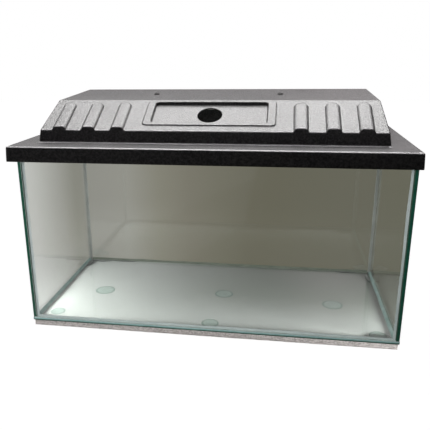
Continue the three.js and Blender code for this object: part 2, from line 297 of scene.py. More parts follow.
def mat_glass():
    n = Nodes("tank_glass")
    p = n.principled(Base_Color=(0.972, 0.986, 0.978, 1.0), Roughness=0.0, IOR=1.5)
    p.inputs["Transmission Weight"].default_value = 1.0
    t = n.add("ShaderNodeBsdfTransparent")
    t.inputs["Color"].default_value = (0.945, 0.957, 0.949, 1.0)
    lp = n.add("ShaderNodeLightPath")
    mix = n.add("ShaderNodeMixShader")
    n.link(lp.outputs["Is Shadow Ray"], mix.inputs["Fac"])
    n.link(p.outputs[0], mix.inputs[1])
    n.link(t.outputs[0], mix.inputs[2])
    return n.surface(mix)


def mat_glass_edge():
    """Ground and polished edge of green float glass."""
    n = Nodes("glass_edge")
    x, y, z = n.xyz()
    streak = n.noise(160.0, 3.0, 0.6)
    base = n.ramp(streak, [(0.3, (0.004, 0.040, 0.024)), (0.7, (0.010, 0.075, 0.048))])
    chips = n.voronoi(700.0)
    base = n.mix(n.map(chips, 0.0, 0.12, 0.35, 0.0), base, (0.25, 0.42, 0.36))
    b = n.bump(n.noise(900.0, 2.0, 0.6), 0.0001, 0.3)
    p = n.principled(Base_Color=base, Roughness=0.28, IOR=1.5, Normal=b)
    return n.surface(p)


def mat_base_edge():
    """Edge of the floor glass: dark green below, with pale teal bands above painted on as highlights."""
    n = Nodes("floor_glass_edge")
    x, y, z = n.xyz()
    wob = n.math("MULTIPLY", n.math("SUBTRACT", n.noise(60.0, 2.0, 0.5), 0.5), 0.0008)
    t = n.map(n.math("ADD", z, wob), 0.010, 0.015, 0.0, 1.0)
    col = n.ramp(t, [
        (0.00, (0.030, 0.085, 0.066)), (0.34, (0.024, 0.070, 0.054)),
        (0.46, (0.060, 0.135, 0.115)), (0.54, (0.34, 0.47, 0.46)),
        (0.66, (0.20, 0.34, 0.34)), (0.84, (0.20, 0.35, 0.35)),
        (0.93, (0.42, 0.54, 0.53)), (1.0, (0.52, 0.62, 0.60)),
    ])
    streak = n.noise(220.0, 3.0, 0.6)
    col = n.mix(0.35, col, n.mix(1.0, col, n.ramp(streak, [(0.3, (0.6, 0.6, 0.6)), (0.7, (1.4, 1.4, 1.4))]), "MULTIPLY"))
    b = n.bump(streak, 0.0002, 0.3)
    p = n.principled(Base_Color=col, Roughness=0.22, IOR=1.5, Normal=b)
    return n.surface(p)


def mat_bedded_edge():
    """Lower edge of an upright pane, pale where clear sealant fills its ground surface."""
    n = Nodes("bedded_glass_edge")
    v = n.noise(75.0, 3.0, 0.6)
    col = n.ramp(v, [(0.3, (0.46, 0.56, 0.53)), (0.7, (0.62, 0.70, 0.68))])
    p = n.principled(Base_Color=col, Roughness=0.35, IOR=1.45, Normal=n.bump(v, 0.0002, 0.4))
    return n.surface(p)


def mat_silicone(name, dark, light, clear, rough=0.24):
    n = Nodes(name)
    v = n.noise(45.0, 3.0, 0.6)
    col = n.ramp(v, [(0.3, dark), (0.7, light)])
    b = n.bump(n.noise(130.0, 3.0, 0.6), 0.0005, 0.5)
    p = n.principled(Base_Color=col, Roughness=rough, IOR=1.38, Normal=b)
    p.inputs["Transmission Weight"].default_value = clear
    return n.surface(p)


def mat_foam():
    n = Nodes("foam_mat")
    x, y, z = n.xyz()
    cells = n.voronoi(480.0)
    fine = n.noise(900.0, 2.0, 0.6)
    soft = n.noise(14.0, 3.0, 0.6)
    top = n.ramp(soft, [(0.3, (0.775, 0.785, 0.775)), (0.7, (0.83, 0.838, 0.828))])
    # the cut sides keep a speckled bead texture, but their dark tone is painted shade; the top keeps the foam's pale
    # colour
    side = n.ramp(n.math("ADD", n.math("MULTIPLY", cells, 0.9), n.math("MULTIPLY", fine, 0.5)),
                  [(0.26, (0.035, 0.032, 0.031)), (0.48, (0.128, 0.118, 0.114)), (0.78, (0.262, 0.246, 0.240))])
    geo = n.add("ShaderNodeNewGeometry")
    nz = n.add("ShaderNodeSeparateXYZ")
    n.link(geo.outputs["Normal"], nz.inputs[0])
    up = n.map(nz.outputs[2], 0.55, 0.95, 0.0, 1.0, smooth=True)
    # painted shade: the top is painted a little darker towards its rear right corner
    rear_right_shade = n.math("MULTIPLY", n.map(y, -0.10, 0.02, 0.0, 1.0, smooth=True), n.map(x, -0.16, 0.10, 0.0, 1.0, smooth=True))
    top = n.mix(n.math("MULTIPLY", rear_right_shade, 0.72), top, (0.52, 0.555, 0.50))
    col = n.mix(up, side, top)
    h = n.math("ADD", cells, n.math("MULTIPLY", fine, 0.5))
    b = n.bump(h, 0.0006, 0.6)
    p = n.principled(Base_Color=col, Roughness=0.95, IOR=1.35, Normal=b)
    p.inputs["Specular IOR Level"].default_value = 0.2
    return n.surface(p)


def mat_dab():
    n = Nodes("adhesive_dab")
    v = n.noise(120.0, 3.0, 0.6)
    col = n.ramp(v, [(0.3, (0.56, 0.66, 0.62)), (0.7, (0.66, 0.75, 0.71))])
    # the pressed rim is darker than the middle
    tc = n.add("ShaderNodeTexCoord")
    gx, gy, gz = n.xyz(tc.outputs["Generated"])
    gx = n.math("MULTIPLY", n.math("SUBTRACT", gx, 0.5), 2.0)
    gy = n.math("MULTIPLY", n.math("SUBTRACT", gy, 0.5), 2.0)
    r = n.math("SQRT", n.math("ADD", n.math("MULTIPLY", gx, gx), n.math("MULTIPLY", gy, gy)))
    col = n.mix(n.map(r, 0.76, 0.90, 0.0, 0.85, smooth=True), col, (0.33, 0.43, 0.39))
    b = n.bump(n.noise(260.0, 2.0, 0.5), 0.0003, 0.4)
    p = n.principled(Base_Color=col, Roughness=0.35, IOR=1.45, Normal=b)
    return n.surface(p)


def mat_metal(name, dark, light, rough0, rough1, scale=260.0):
    n = Nodes(name)
    v = n.noise(scale, 3.0, 0.6)
    col = n.ramp(v, [(0.3, dark), (0.7, light)])
    r = n.map(v, 0.3, 0.7, rough0, rough1)
    b = n.bump(n.noise(scale * 4, 2.0, 0.6), 0.00012, 0.35)
    p = n.principled(Base_Color=col, Roughness=r, Metallic=1.0, Normal=b)
    return n.surface(p)


def mat_moulded(name, dark, light, rough0, rough1, scale=120.0, bump=0.00015):
    n = Nodes(name)
    v = n.noise(scale, 3.0, 0.6)
    col = n.ramp(v, [(0.3, dark), (0.7, light)])
    r = n.map(n.noise(scale * 2.3, 2.0, 0.5), 0.3, 0.7, rough0, rough1)
    b = n.bump(n.noise(scale * 7, 2.0, 0.6), bump, 0.4)
    p = n.principled(Base_Color=col, Roughness=r, IOR=1.5, Normal=b)
    return n.surface(p)


def mat_board():
    n = Nodes("lamp_board")
    x, y, z = n.xyz()
    v = n.noise(90.0, 2.0, 0.5)
    col = n.ramp(v, [(0.3, (0.70, 0.73, 0.70)), (0.7, (0.80, 0.82, 0.79))])
    # a row of yellow chips along the board
    u = n.math("FRACT", n.math("MULTIPLY", n.math("ADD", x, 1.0), 1 / 0.0165))
    inx = n.math("MULTIPLY", n.math("GREATER_THAN", u, 0.36), n.math("LESS_THAN", u, 0.64))
    iny = n.math("LESS_THAN", n.math("ABSOLUTE", n.math("SUBTRACT", y, 0.031)), 0.0022)
    col = n.mix(n.math("MULTIPLY", inx, iny), col, (0.80, 0.62, 0.16))
    p = n.principled(Base_Color=col, Roughness=0.45, IOR=1.5, Normal=n.bump(v, 0.0001, 0.3))
    return n.surface(p)


def mat_diffuser():
    n = Nodes("lamp_diffuser")
    x, y, z = n.xyz()
    reeds = n.math("SINE", n.math("MULTIPLY", y, 2 * math.pi / 0.0022))
    v = n.noise(60.0, 2.0, 0.5)
    col = n.ramp(v, [(0.3, (0.80, 0.80, 0.77)), (0.7, (0.88, 0.88, 0.85))])
    p = n.principled(Base_Color=col, Roughness=0.28, IOR=1.49, Normal=n.bump(reeds, 0.00025, 0.5))
    p.inputs["Subsurface Weight"].default_value = 0.2
    p.inputs["Subsurface Radius"].default_value = (0.004, 0.004, 0.004)
    p.inputs["Subsurface Scale"].default_value = 0.5
    return n.surface(p)


HOOD = mat_hood()
GLASS_CLEAR = mat_glass()
GLASS_EDGE = mat_glass_edge()
BASE_EDGE = mat_base_edge()
BEDDED_EDGE = mat_bedded_edge()
SILICONE = mat_silicone("silicone_pale", (0.66, 0.73, 0.74), (0.82, 0.88, 0.89), 0.30)
SILICONE_BACK = mat_silicone("silicone_back_corner", (0.64, 0.67, 0.64), (0.84, 0.86, 0.84), 0.52)
# the side and rear floor beads are darker copies of the same clear sealant: painted shade, with the green of the glass
# in front of them painted in too
SILICONE_SIDE = mat_silicone("silicone_floor_side", (0.42, 0.62, 0.58), (0.66, 0.84, 0.81), 0.12)
SILICONE_REAR = mat_silicone("silicone_floor_rear", (0.40, 0.46, 0.38), (0.60, 0.65, 0.55), 0.55)
SILICONE_FILM = mat_silicone("silicone_film", (0.88, 0.92, 0.90), (0.96, 0.98, 0.97), 0.93, 0.12)
FOAM = mat_foam()
DAB = mat_dab()
STEEL = mat_metal("roof_screw_steel", (0.26, 0.26, 0.256), (0.50, 0.50, 0.49), 0.30, 0.46)
ZINC = mat_metal("zinc_nut_steel", (0.46, 0.46, 0.45), (0.62, 0.62, 0.60), 0.30, 0.45)
PAINT = mat_moulded("batten_paint", (0.68, 0.68, 0.66), (0.76, 0.76, 0.74), 0.35, 0.5)
CAP = mat_moulded("end_cap_plastic", (0.60, 0.60, 0.585), (0.68, 0.68, 0.665), 0.42, 0.55)
BOARD = mat_board()
DIFFUSER = mat_diffuser()


# --------------------------------------------------------------- hood shell
def step(d, w):
    t = np.clip(d / w + 0.5, 0.0, 1.0)
    return t * t * (3 - 2 * t)


def shoulder(t):
    """A round shoulder: steep at its foot, level at its top."""
    t = np.clip(t, 0.0, 1.0)
    return np.sqrt(1 - (1 - t) ** 2)


def sd_rrect(x, s, hx, s0, s1, r):
    cx = np.abs(x) - (hx - r)
    cs = np.abs(s - (s0 + s1) / 2) - ((s1 - s0) / 2 - r)
    return np.hypot(np.maximum(cx, 0), np.maximum(cs, 0)) + np.minimum(np.maximum(cx, cs), 0) - r


def wave(x, s):
    return (0.16 * np.sin(x * 0.71 + s * 0.33) + 0.12 * np.sin(x * 1.37 - s * 0.9 + 1.3)
            + 0.07 * np.sin(x * 2.3 + s * 1.7 + 0.4))


def relief(x, s, off=0.0):
    """Height above the slope of the ribs, the frame and the recess. off > 0 is the inner skin."""
    h = np.zeros(np.broadcast(x, s).shape)
    sc = RIB_END - RIB_W / 2
    for cx in RIB_X:
        d = RIB_W / 2 - np.hypot(x - cx, np.maximum(s - sc, 0))
        h = h + RIB_H * shoulder((d - off + 0.8) / 6.2)
    wob = wave(x, s) if off == 0 else 0.0
    d = -sd_rrect(x, s, FRAME_X, FRAME_S[0], FRAME_S[1], 7.0) + wob
    h = h + FRAME_H * step(d - off, 1.7)
    d = -sd_rrect(x, s, RECESS_X, RECESS_S[0], RECESS_S[1], 6.0) + wob * 0.5
    h = h - (FRAME_H + RECESS_DEPTH) * step(d + off, 2.4)
    return h


CREASE_R = 4.0
CREASE_T = CREASE_R * math.tan((ALPHA - BETA) / 2)
_c0 = (SLOPE_Y + (SLOPE_L - CREASE_T) * math.cos(ALPHA), FASCIA_Z + (SLOPE_L - CREASE_T) * math.sin(ALPHA))
CREASE_C = (_c0[0] + CREASE_R * math.sin(ALPHA), _c0[1] - CREASE_R * math.cos(ALPHA))


def base_profile(q):
    """Point and normal of the plain slope-and-roof profile at the distance q from the slope's foot."""
    q = np.asarray(q, float)
    y = SLOPE_Y + q * math.cos(ALPHA)
    z = FASCIA_Z + q * math.sin(ALPHA)
    a = np.full(q.shape, ALPHA)
    on_roof = q > SLOPE_L + CREASE_T
    r = q - SLOPE_L
    y = np.where(on_roof, CREASE_Y + r * math.cos(BETA), y)
    z = np.where(on_roof, CREASE_Z + r * math.sin(BETA), z)
    a = np.where(on_roof, BETA, a)
    arc = (q >= SLOPE_L - CREASE_T) & ~on_roof
    th = np.clip((q - (SLOPE_L - CREASE_T)) / (2 * CREASE_T), 0, 1)
    ang = ALPHA - th * (ALPHA - BETA)
    y = np.where(arc, CREASE_C[0] - CREASE_R * np.sin(ang), y)
    z = np.where(arc, CREASE_C[1] + CREASE_R * np.cos(ang), z)
    a = np.where(arc, ang, a)
    return y, z, -np.sin(a), np.cos(a)


def on_top(x, q, n):
    y, z, ny, nz = base_profile(q)
    return np.stack([np.broadcast_to(x, y.shape) + 0 * n, y + ny * n, z + nz * n], -1)


def rmax(a, b, r):
    return np.minimum(np.maximum(a, b), -r) + np.hypot(np.maximum(a + r, 0), np.maximum(b + r, 0))


def body_field(p, off):
    """Signed distance to the raised body's skin, negative inside."""
    x, y, z = p[..., 0], p[..., 1], p[..., 2]
    dy, dz = y - SLOPE_Y, z - FASCIA_Z
    s = dy * math.cos(ALPHA) + dz * math.sin(ALPHA)
    n = -dy * math.sin(ALPHA) + dz * math.cos(ALPHA)
    fs = n - relief(x, s, off)
    fr = (z - CREASE_Z) * math.cos(BETA) - (y - CREASE_Y) * math.sin(BETA)
    vy, vz = y - CREASE_C[0], z - CREASE_C[1]
    phi = np.arctan2(-vy, vz)
    sector = (phi > BETA) & (phi < ALPHA) & (vz > 0)
    top = np.where(sector, np.hypot(vy, vz) - CREASE_R, np.maximum(fs, fr))
    t = DRAFT * (z - FLANGE_Z)
    r = np.clip(BODY_R - BODY_TIGHTEN * (z - FLANGE_Z), 0.5, None)
    cx = np.abs(x) - (BODY_X - t - r)
    cy = np.abs(y - (BODY_Y0 + BODY_Y1) / 2) - ((BODY_Y1 - BODY_Y0) / 2 - t - r)
    d = np.hypot(np.maximum(cx, 0), np.maximum(cy, 0)) + np.minimum(np.maximum(cx, cy), 0) - r
    return rmax(d * 0.9859, top, 1.9)


def lines(*spans):
    """Sorted line positions from (start, end, spacing) spans."""
    out = [spans[0][0]]
    for a, b, h in spans:
        k = max(1, int(round((b - a) / h)))
        out += [a + (b - a) * (i + 1) / k for i in range(k)]
    return out


NA, NB = 2, 5          # vertices on each side of a corner: straight part, arc
GRID_IN = 6.0
X_LAST = 249.4
SCREW_Q = SLOPE_L + (SCREW_Y - CREASE_Y) / math.cos(BETA)


def build_hood():
    half = lines(
        (0, 23, 1.25), (23, 84, 4.5), (84, 102, 0.95), (102, 114, 1.0), (114, 127.8, 3.6), (127.8, 153.8, 0.95),
        (153.8, 175.4, 4.4), (175.4, 201.4, 0.95), (201.4, 223.0, 4.4), (223.0, X_LAST, 0.95),
    )
    xs = np.array([-v for v in half[:0:-1]] + half)
    ncf = len(xs)
    nc = ncf + 2 * (NA + NB)
    q_rows = lines(
        (6, 12, 6 / 7), (12, 23.5, 0.9), (23.5, 31, 0.95), (31, 63, 1.3), (63, 69.5, 0.9), (69.5, 81.5, 0.86),
        (81.5, SLOPE_L - CREASE_T, 1.2), (SLOPE_L - CREASE_T, SLOPE_L + CREASE_T, 0.32),
        (SLOPE_L + CREASE_T, 94, 2.5), (94, SCREW_Q - 6, 9), (SCREW_Q - 6, SCREW_Q + 6, 1.5),
        (SCREW_Q + 6, 222, 9),
    )
    q_end = SLOPE_L + (ROOF_Y - GRID_IN - CREASE_Y) / math.cos(BETA)
    q_rows += [222 + (q_end - 222) * (i + 1) / (NA + NB) for i in range(NA + NB)]
    qs = np.array(q_rows)
    nr = len(qs)
    Y, Z, _, _ = base_profile(qs)
    xg = BODY_X - DRAFT * (Z - FLANGE_Z) - GRID_IN

    X = np.zeros((nr, nc))
    k = NA + NB
    X[:, k:k + ncf] = xs
    for i in range(k):
        f = (i + 1) / k
        X[:, k + ncf + i] = X_LAST + (xg - X_LAST) * f
        X[:, k - 1 - i] = -(X_LAST + (xg - X_LAST) * f)
    Q = np.repeat(qs[:, None], nc, 1)

    verts = []
    faces = []

    def put(points):
        start = sum(len(v) for v in verts)
        verts.append(np.asarray(points, float).reshape(-1, 3))
        return np.arange(start, start + len(verts[-1]))

    outer = put(on_top(X, Q, relief(X, Q, 0.0))).reshape(nr, nc)
    inner = put(on_top(X, Q, relief(X, Q, WALL * 0.82) - WALL)).reshape(nr, nc)

    # --- round openings: (x, q, radius, grid half size, lip radius)
    def col_of(x):
        return int(np.argmin(np.abs(X[nr // 2] - x)))

    def row_of(q):
        return int(np.argmin(np.abs(qs - q)))

    skip = np.zeros((nr - 1, nc - 1), bool)
    for cx, cq, rad, c0, c1, r0, r1, lip in (
        (0.0, HOLE_S, HOLE_R, -23, 23, 23.5, 69.5, 0.9),
        (-SCREW_X, SCREW_Q, SCREW_HOLE_R, -114, -102, SCREW_Q - 6, SCREW_Q + 6, 0.25),
        (SCREW_X, SCREW_Q, SCREW_HOLE_R, 102, 114, SCREW_Q - 6, SCREW_Q + 6, 0.25),
    ):
        i0, i1, j0, j1 = col_of(c0), col_of(c1), row_of(r0), row_of(r1)
        skip[j0:j1, i0:i1] = True
        loop = ([(j0, i) for i in range(i0, i1)] + [(j, i1) for j in range(j0, j1)]
                + [(j1, i) for i in range(i1, i0, -1)] + [(j, i0) for j in range(j1, j0, -1)])
        lj = np.array([a for a, _ in loop])
        li = np.array([b for _, b in loop])
        bx, bq = X[lj, li], Q[lj, li]
        ang = np.arctan2(bq - cq, bx - cx)
        m = len(loop)
        rings = [outer[lj, li]]
        floor_out = relief(np.array([cx + rad * 1.02]), np.array([cq]), 0.0)[0] if cx == 0 else 0.0
        floor_in = floor_out - WALL
        for f in (0.3, 0.55, 0.75, 0.9, 1.0):
            rr = rad + lip
            px = bx + (cx + rr * np.cos(ang) - bx) * f
            pq = bq + (cq + rr * np.sin(ang) - bq) * f
            hh = relief(px, pq, 0.0) if cx == 0 else np.zeros(m)
            rings.append(put(on_top(px, pq, hh)))
        for a in (22.5, 45, 67.5, 90):
            a = math.radians(a)
            rr = rad + lip * (1 - math.sin(a))
            n = floor_out - lip * (1 - math.cos(a))
            rings.append(put(on_top(cx + rr * np.cos(ang), cq + rr * np.sin(ang), np.full(m, n))))
        for a in (90, 45, 0):
            a = math.radians(a)
            rr = rad + lip * (1 - math.sin(a))
            n = floor_in + lip * (1 - math.cos(a))
            rings.append(put(on_top(cx + rr * np.cos(ang), cq + rr * np.sin(ang), np.full(m, n))))
        for f in (0.7, 0.35):
            rr = rad + lip
            px = bx + (cx + rr * np.cos(ang) - bx) * f
            pq = bq + (cq + rr * np.sin(ang) - bq) * f
            hh = relief(px, pq, WALL * 0.82) if cx == 0 else np.zeros(m)
            rings.append(put(on_top(px, pq, hh - WALL)))
        rings.append(inner[lj, li])
        for a, b in zip(rings[:-1], rings[1:]):
            for t in range(m):
                u = (t + 1) % m
                faces.append((int(a[t]), int(a[u]), int(b[u]), int(b[t])))

    for j in range(nr - 1):
        for i in range(nc - 1):
            if skip[j, i]:
                continue
            faces.append((int(outer[j, i]), int(outer[j, i + 1]), int(outer[j + 1, i + 1]), int(outer[j + 1, i])))
            faces.append((int(inner[j, i]), int(inner[j + 1, i]), int(inner[j + 1, i + 1]), int(inner[j, i + 1])))

    # --- perimeter, counterclockwise from above, starting at the front left
    per = ([(0, i) for i in range(0, nc - 1)] + [(j, nc - 1) for j in range(0, nr - 1)]
           + [(nr - 1, i) for i in range(nc - 1, 0, -1)] + [(j, 0) for j in range(nr - 1, 0, -1)])
    pj = np.array([a for a, _ in per])
    pi = np.array([b for _, b in per])
    npr = len(per)

    def outline(hx, y0, y1, r):
        """The perimeter's vertices spread round a rounded rectangle."""
        out = np.zeros((npr, 2))
        for v, (j, i) in enumerate(per):
            front, backr, left, right = j == 0, j == nr - 1, i == 0, i == nc - 1
            ci = min(i, nc - 1 - i)
            cj = min(j, nr - 1 - j)
            sx = -1 if i < nc / 2 else 1
            sy = -1 if j < nr / 2 else 1
            ye = y0 if sy < 0 else y1
            if (front or backr) and ci >= k:
                out[v] = (X[j, i], ye)
                continue
            if (left or right) and cj >= k:
                out[v] = (sx * hx, Y[j])
                continue
            ax, ay = sx * (hx - r), ye - sy * r      # arc centre
            c = ci if (front or backr) else cj       # 0 at the corner, up to k - 1
            if c < NB:
                a = math.pi / 4 * (c / NB)           # away from the diagonal
                ang = math.pi / 4 + a if (front or backr) else math.pi / 4 - a
                out[v] = (ax + sx * r * math.cos(ang), ay + sy * r * math.sin(ang))
            else:
                f = (c - NB) / NA
                if front or backr:
                    out[v] = (ax + (sx * X_LAST - ax) * f, ye)
                else:
                    yl = Y[k] if sy < 0 else Y[nr - 1 - k]
                    out[v] = (sx * hx, ay + (yl - ay) * f)
        return out

    def body_outline(rho):
        """Outline at the flange grown by rho; negative rho is up the leaning wall."""
        r = BODY_R + (BODY_TIGHTEN / DRAFT * rho if rho < 0 else rho)
        return outline(BODY_X + rho, BODY_Y0 - rho, BODY_Y1 + rho, r)

    def ring3(xy, z):
        return np.concatenate([xy, np.full((npr, 1), float(z)) if np.isscalar(z) else np.asarray(z)[:, None]], 1)

    def wall_point(z_each, inset):
        """Wall points at a height of its own for each perimeter vertex."""
        zs = np.linspace(FLANGE_Z - 3, 372, 26)
        table = []
        for z in zs:
            t = DRAFT * (z - FLANGE_Z) + inset
            r = max(BODY_R - BODY_TIGHTEN * (z - FLANGE_Z) - inset, 0.5)
            table.append(outline(BODY_X - t, BODY_Y0 + t, BODY_Y1 - t, r))
        table = np.array(table)
        f = np.clip((z_each - zs[0]) / (zs[1] - zs[0]), 0, len(zs) - 1.001)
        a = np.floor(f).astype(int)
        w = (f - a)[:, None]
        idx = np.arange(npr)
        xy = table[a, idx] * (1 - w) + table[a + 1, idx] * w
        return np.concatenate([xy, z_each[:, None]], 1)

    py, pz, pny, pnz = base_profile(Q[pj, pi])
    N = np.stack([np.zeros(npr), pny, pnz], 1)
    base_pt = np.stack([X[pj, pi], py, pz], 1)
    C = base_pt - 9.0 * N
    target = wall_point(C[:, 2], 0.0)
    O = target - C
    O[:, 2] = 0
    O /= np.linalg.norm(O, axis=1)[:, None]

    def edge_rings(level, off, count):
        psis = np.linspace(0, math.pi / 2, 61)
        D = np.cos(psis)[None, :, None] * O[:, None] + np.sin(psis)[None, :, None] * N[:, None]
        D /= np.linalg.norm(D, axis=2)[..., None]
        lo = np.zeros(D.shape[:2])
        hi = np.full(D.shape[:2], 30.0)
        for _ in range(26):
            mid = (lo + hi) / 2
            inside = body_field(C[:, None] + D * mid[..., None], off) < level
            lo = np.where(inside, mid, lo)
            hi = np.where(inside, hi, mid)
        P = C[:, None] + D * ((lo + hi) / 2)[..., None]
        seg = P[:, 1:] - P[:, :-1]
        ln = np.linalg.norm(seg, axis=2)
        un = seg / ln[..., None]
        turn = np.zeros_like(ln)
        turn[:, 1:] = np.arccos(np.clip((un[:, 1:] * un[:, :-1]).sum(2), -1, 1))
        w = ln + 9.0 * (turn + np.roll(turn, -1, 1) * (np.arange(60) < 59))
        # the metric is averaged along the perimeter so that the rings run smoothly
        for _ in range(6):
            w = (np.roll(w, 1, 0) + w * 2 + np.roll(w, -1, 0)) / 4
        cum = np.concatenate([np.zeros((npr, 1)), np.cumsum(w, 1)], 1)
        cum /= cum[:, -1:]
        rings = np.zeros((count, npr, 3))
        at = (np.arange(count) + 1) / (count + 1)
        for v in range(npr):
            for c in range(3):
                rings[:, v, c] = np.interp(at, cum[v], P[v, :, c])
        return P[:, 0], rings          # lowest first

    foot, rings = edge_rings(0.0, 0.0, 11)
    outer_seq = [outer[pj, pi]]
    for r in rings[::-1]:
        outer_seq.append(put(r))
    outer_seq.append(put(foot))
    # plain wall, then the cove at its foot
    rf = 3.6
    tl = 0.844 * rf
    z_lo = FLANGE_Z + tl * 0.9859
    z_foot = foot[:, 2]
    for f in (0.3, 0.62, 0.9):
        outer_seq.append(put(wall_point(z_foot + (z_lo - z_foot) * f, 0.0)))
    lean = math.atan(DRAFT)
    sweep = math.pi / 2 - lean         # the cove turns from the wall to the flange
    # centre of the cove in (outward, up)
    cr, cz = tl, rf
    for i in range(6):
        a = i / 5
        ang = math.pi + lean + sweep * a
        rho = cr + rf * math.cos(ang)
        zz = FLANGE_Z + cz + rf * math.sin(ang)
        outer_seq.append(put(ring3(body_outline(rho), zz)))
    # flange, its round edge, and the skirt
    f_in = body_outline(tl)
    top_hx = SKIRT_X - SKIRT_LEAN * (FLANGE_Z - SKIRT_Z)
    top_hy = SKIRT_Y - SKIRT_LEAN * (FLANGE_Z - SKIRT_Z)
    re = 2.9

    def skirt_outline(inset, z):
        grow = SKIRT_LEAN * (FLANGE_Z - z)
        return outline(top_hx + grow - inset, -(top_hy + grow - inset), top_hy + grow - inset, max(SKIRT_R - inset, 1.0))

    f_out = skirt_outline(re, FLANGE_Z)
    for f in (0.2, 0.45, 0.7, 0.9, 1.0):
        xy = f_in + (f_out - f_in) * f
        z = FLANGE_Z - (0.25 * math.sin(math.pi * f))
        outer_seq.append(put(ring3(xy, z)))
    for a in (18, 36, 54, 72, 90):
        a = math.radians(a)
        z = FLANGE_Z - re * (1 - math.cos(a))
        outer_seq.append(put(ring3(skirt_outline(re * (1 - math.sin(a)), z), z)))
    warp = np.array([0.35 * noise.noise(Vector((p[0] * 0.012, p[1] * 0.012, 3.1))) for p in f_out])
    for z in (304, 298, 293, 289.2):
        w = (309 - z) / 20
        inset = np.abs(warp) * w * 0.9
        xy = skirt_outline(0, z)
        xy = xy * (1 - inset[:, None] / 300)
        outer_seq.append(put(ring3(xy, z)))
    lip = 0.85
    for a in (30, 60, 90):
        a = math.radians(a)
        z = SKIRT_Z + lip * (1 - math.sin(a))
        outer_seq.append(put(ring3(skirt_outline(lip * (1 - math.cos(a)) + 0.15, z), z + np.abs(warp) * 0.6)))
    for a in (90, 45, 0):
        a = math.radians(a)
        z = SKIRT_Z + lip * (1 - math.sin(a))
        outer_seq.append(put(ring3(skirt_outline(WALL - lip * (1 - math.cos(a)), z), z + np.abs(warp) * 0.6)))
    for z in (296, 304):
        outer_seq.append(put(ring3(skirt_outline(WALL, z), z)))
    for a in (0, 45, 90):
        a = math.radians(a)
        z = FLANGE_Z - WALL - 2.0 * (1 - math.sin(a))
        outer_seq.append(put(ring3(skirt_outline(WALL + 2.0 * (1 - math.cos(a)), z), z)))
    i_out = skirt_outline(WALL + 2.0, FLANGE_Z - WALL)
    t_in = body_outline(-WALL + 0.7)
    for f in (0.5, 1.0):
        outer_seq.append(put(ring3(i_out + (t_in - i_out) * f, FLANGE_Z - WALL - 0.0)))
    for a in (30, 60, 90):
        a = math.radians(a)
        rho = -WALL + 0.7 * (1 - math.sin(a))
        outer_seq.append(put(ring3(body_outline(rho), FLANGE_Z - WALL + 0.7 * (1 - math.cos(a)))))
    ifoot, irings = edge_rings(-WALL, WALL * 0.82, 6)
    zi = ifoot[:, 2]
    z_start = FLANGE_Z - WALL + 0.7
    for f in (0.35, 0.7):
        outer_seq.append(put(wall_point(z_start + (zi - z_start) * f, WALL)))
    outer_seq.append(put(ifoot))
    for r in irings:
        outer_seq.append(put(r))
    outer_seq.append(inner[pj, pi])
    for a, b in zip(outer_seq[:-1], outer_seq[1:]):
        for t in range(npr):
            u = (t + 1) % npr
            faces.append((int(b[t]), int(b[u]), int(a[u]), int(a[t])))
    return np.concatenate(verts), faces


hood_v, hood_f = build_hood()
hood = mesh_object("hood_shell_moulding", hood_v, hood_f, [HOOD], smooth=True, sharp=55)
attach(hood, "hood")
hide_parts("hood_shell")


# -------------------------------------------------------------------- glass
def pane(name, node, lo, hi, thin, edge_mat, arris=0.45):
    """A sheet of glass with ground arrises. thin is the axis through its thickness."""
    bm = bmesh.new()
    bmesh.ops.create_cube(bm, size=1.0)
    lo, hi = Vector(lo), Vector(hi)
    for v in bm.verts:
        v.co = Vector([(lo[a] if v.co[a] < 0 else hi[a]) * MM for a in range(3)])
    bmesh.ops.bevel(bm, geom=list(bm.edges), offset=arris * MM, segments=1, profile=0.5, affect="EDGES")
    bmesh.ops.recalc_face_normals(bm, faces=bm.faces)
    for f in bm.faces:
        f.material_index = 0 if abs(f.normal[thin]) > 0.95 else 1
        if thin == 1 and f.normal.z < -0.5:
            f.material_index = 2           # the lower edge is bedded in clear sealant
    me = bpy.data.meshes.new(name)
    bm.to_mesh(me)
    bm.free()
    me.materials.append(GLASS_CLEAR)
    me.materials.append(edge_mat)
    if thin == 1:
        me.materials.append(BEDDED_EDGE)
    ob = bpy.data.objects.new(name, me)
    bpy.context.scene.collection.objects.link(ob)
    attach(ob, "tank")
    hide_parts(node)
    return ob


W2, D2 = TANK_W / 2, TANK_D / 2
PX = W2 - GLASS - 0.3
T = TANK_X
pane("glass_base", "base_pane", (T - W2 - 0.5, -D2 - 0.5, BASE_Z), (T + W2 + 0.5, D2 + 0.5, BASE_Z + BASE_T), 2, BASE_EDGE)
pane("glass_left", "left_pane", (T - W2, -D2, WALL_Z), (T - W2 + GLASS, D2, RIM_Z), 0, GLASS_EDGE)
pane("glass_right", "right_pane", (T + W2 - GLASS, -D2, WALL_Z), (T + W2, D2, RIM_Z), 0, GLASS_EDGE)
pane("glass_front", "front_pane", (T - PX, -D2, WALL_Z), (T + PX, -D2 + GLASS, RIM_Z), 1, GLASS_EDGE)
pane("glass_back", "back_pane", (T - PX, D2 - GLASS, WALL_Z), (T + PX, D2, RIM_Z), 1, GLASS_EDGE)


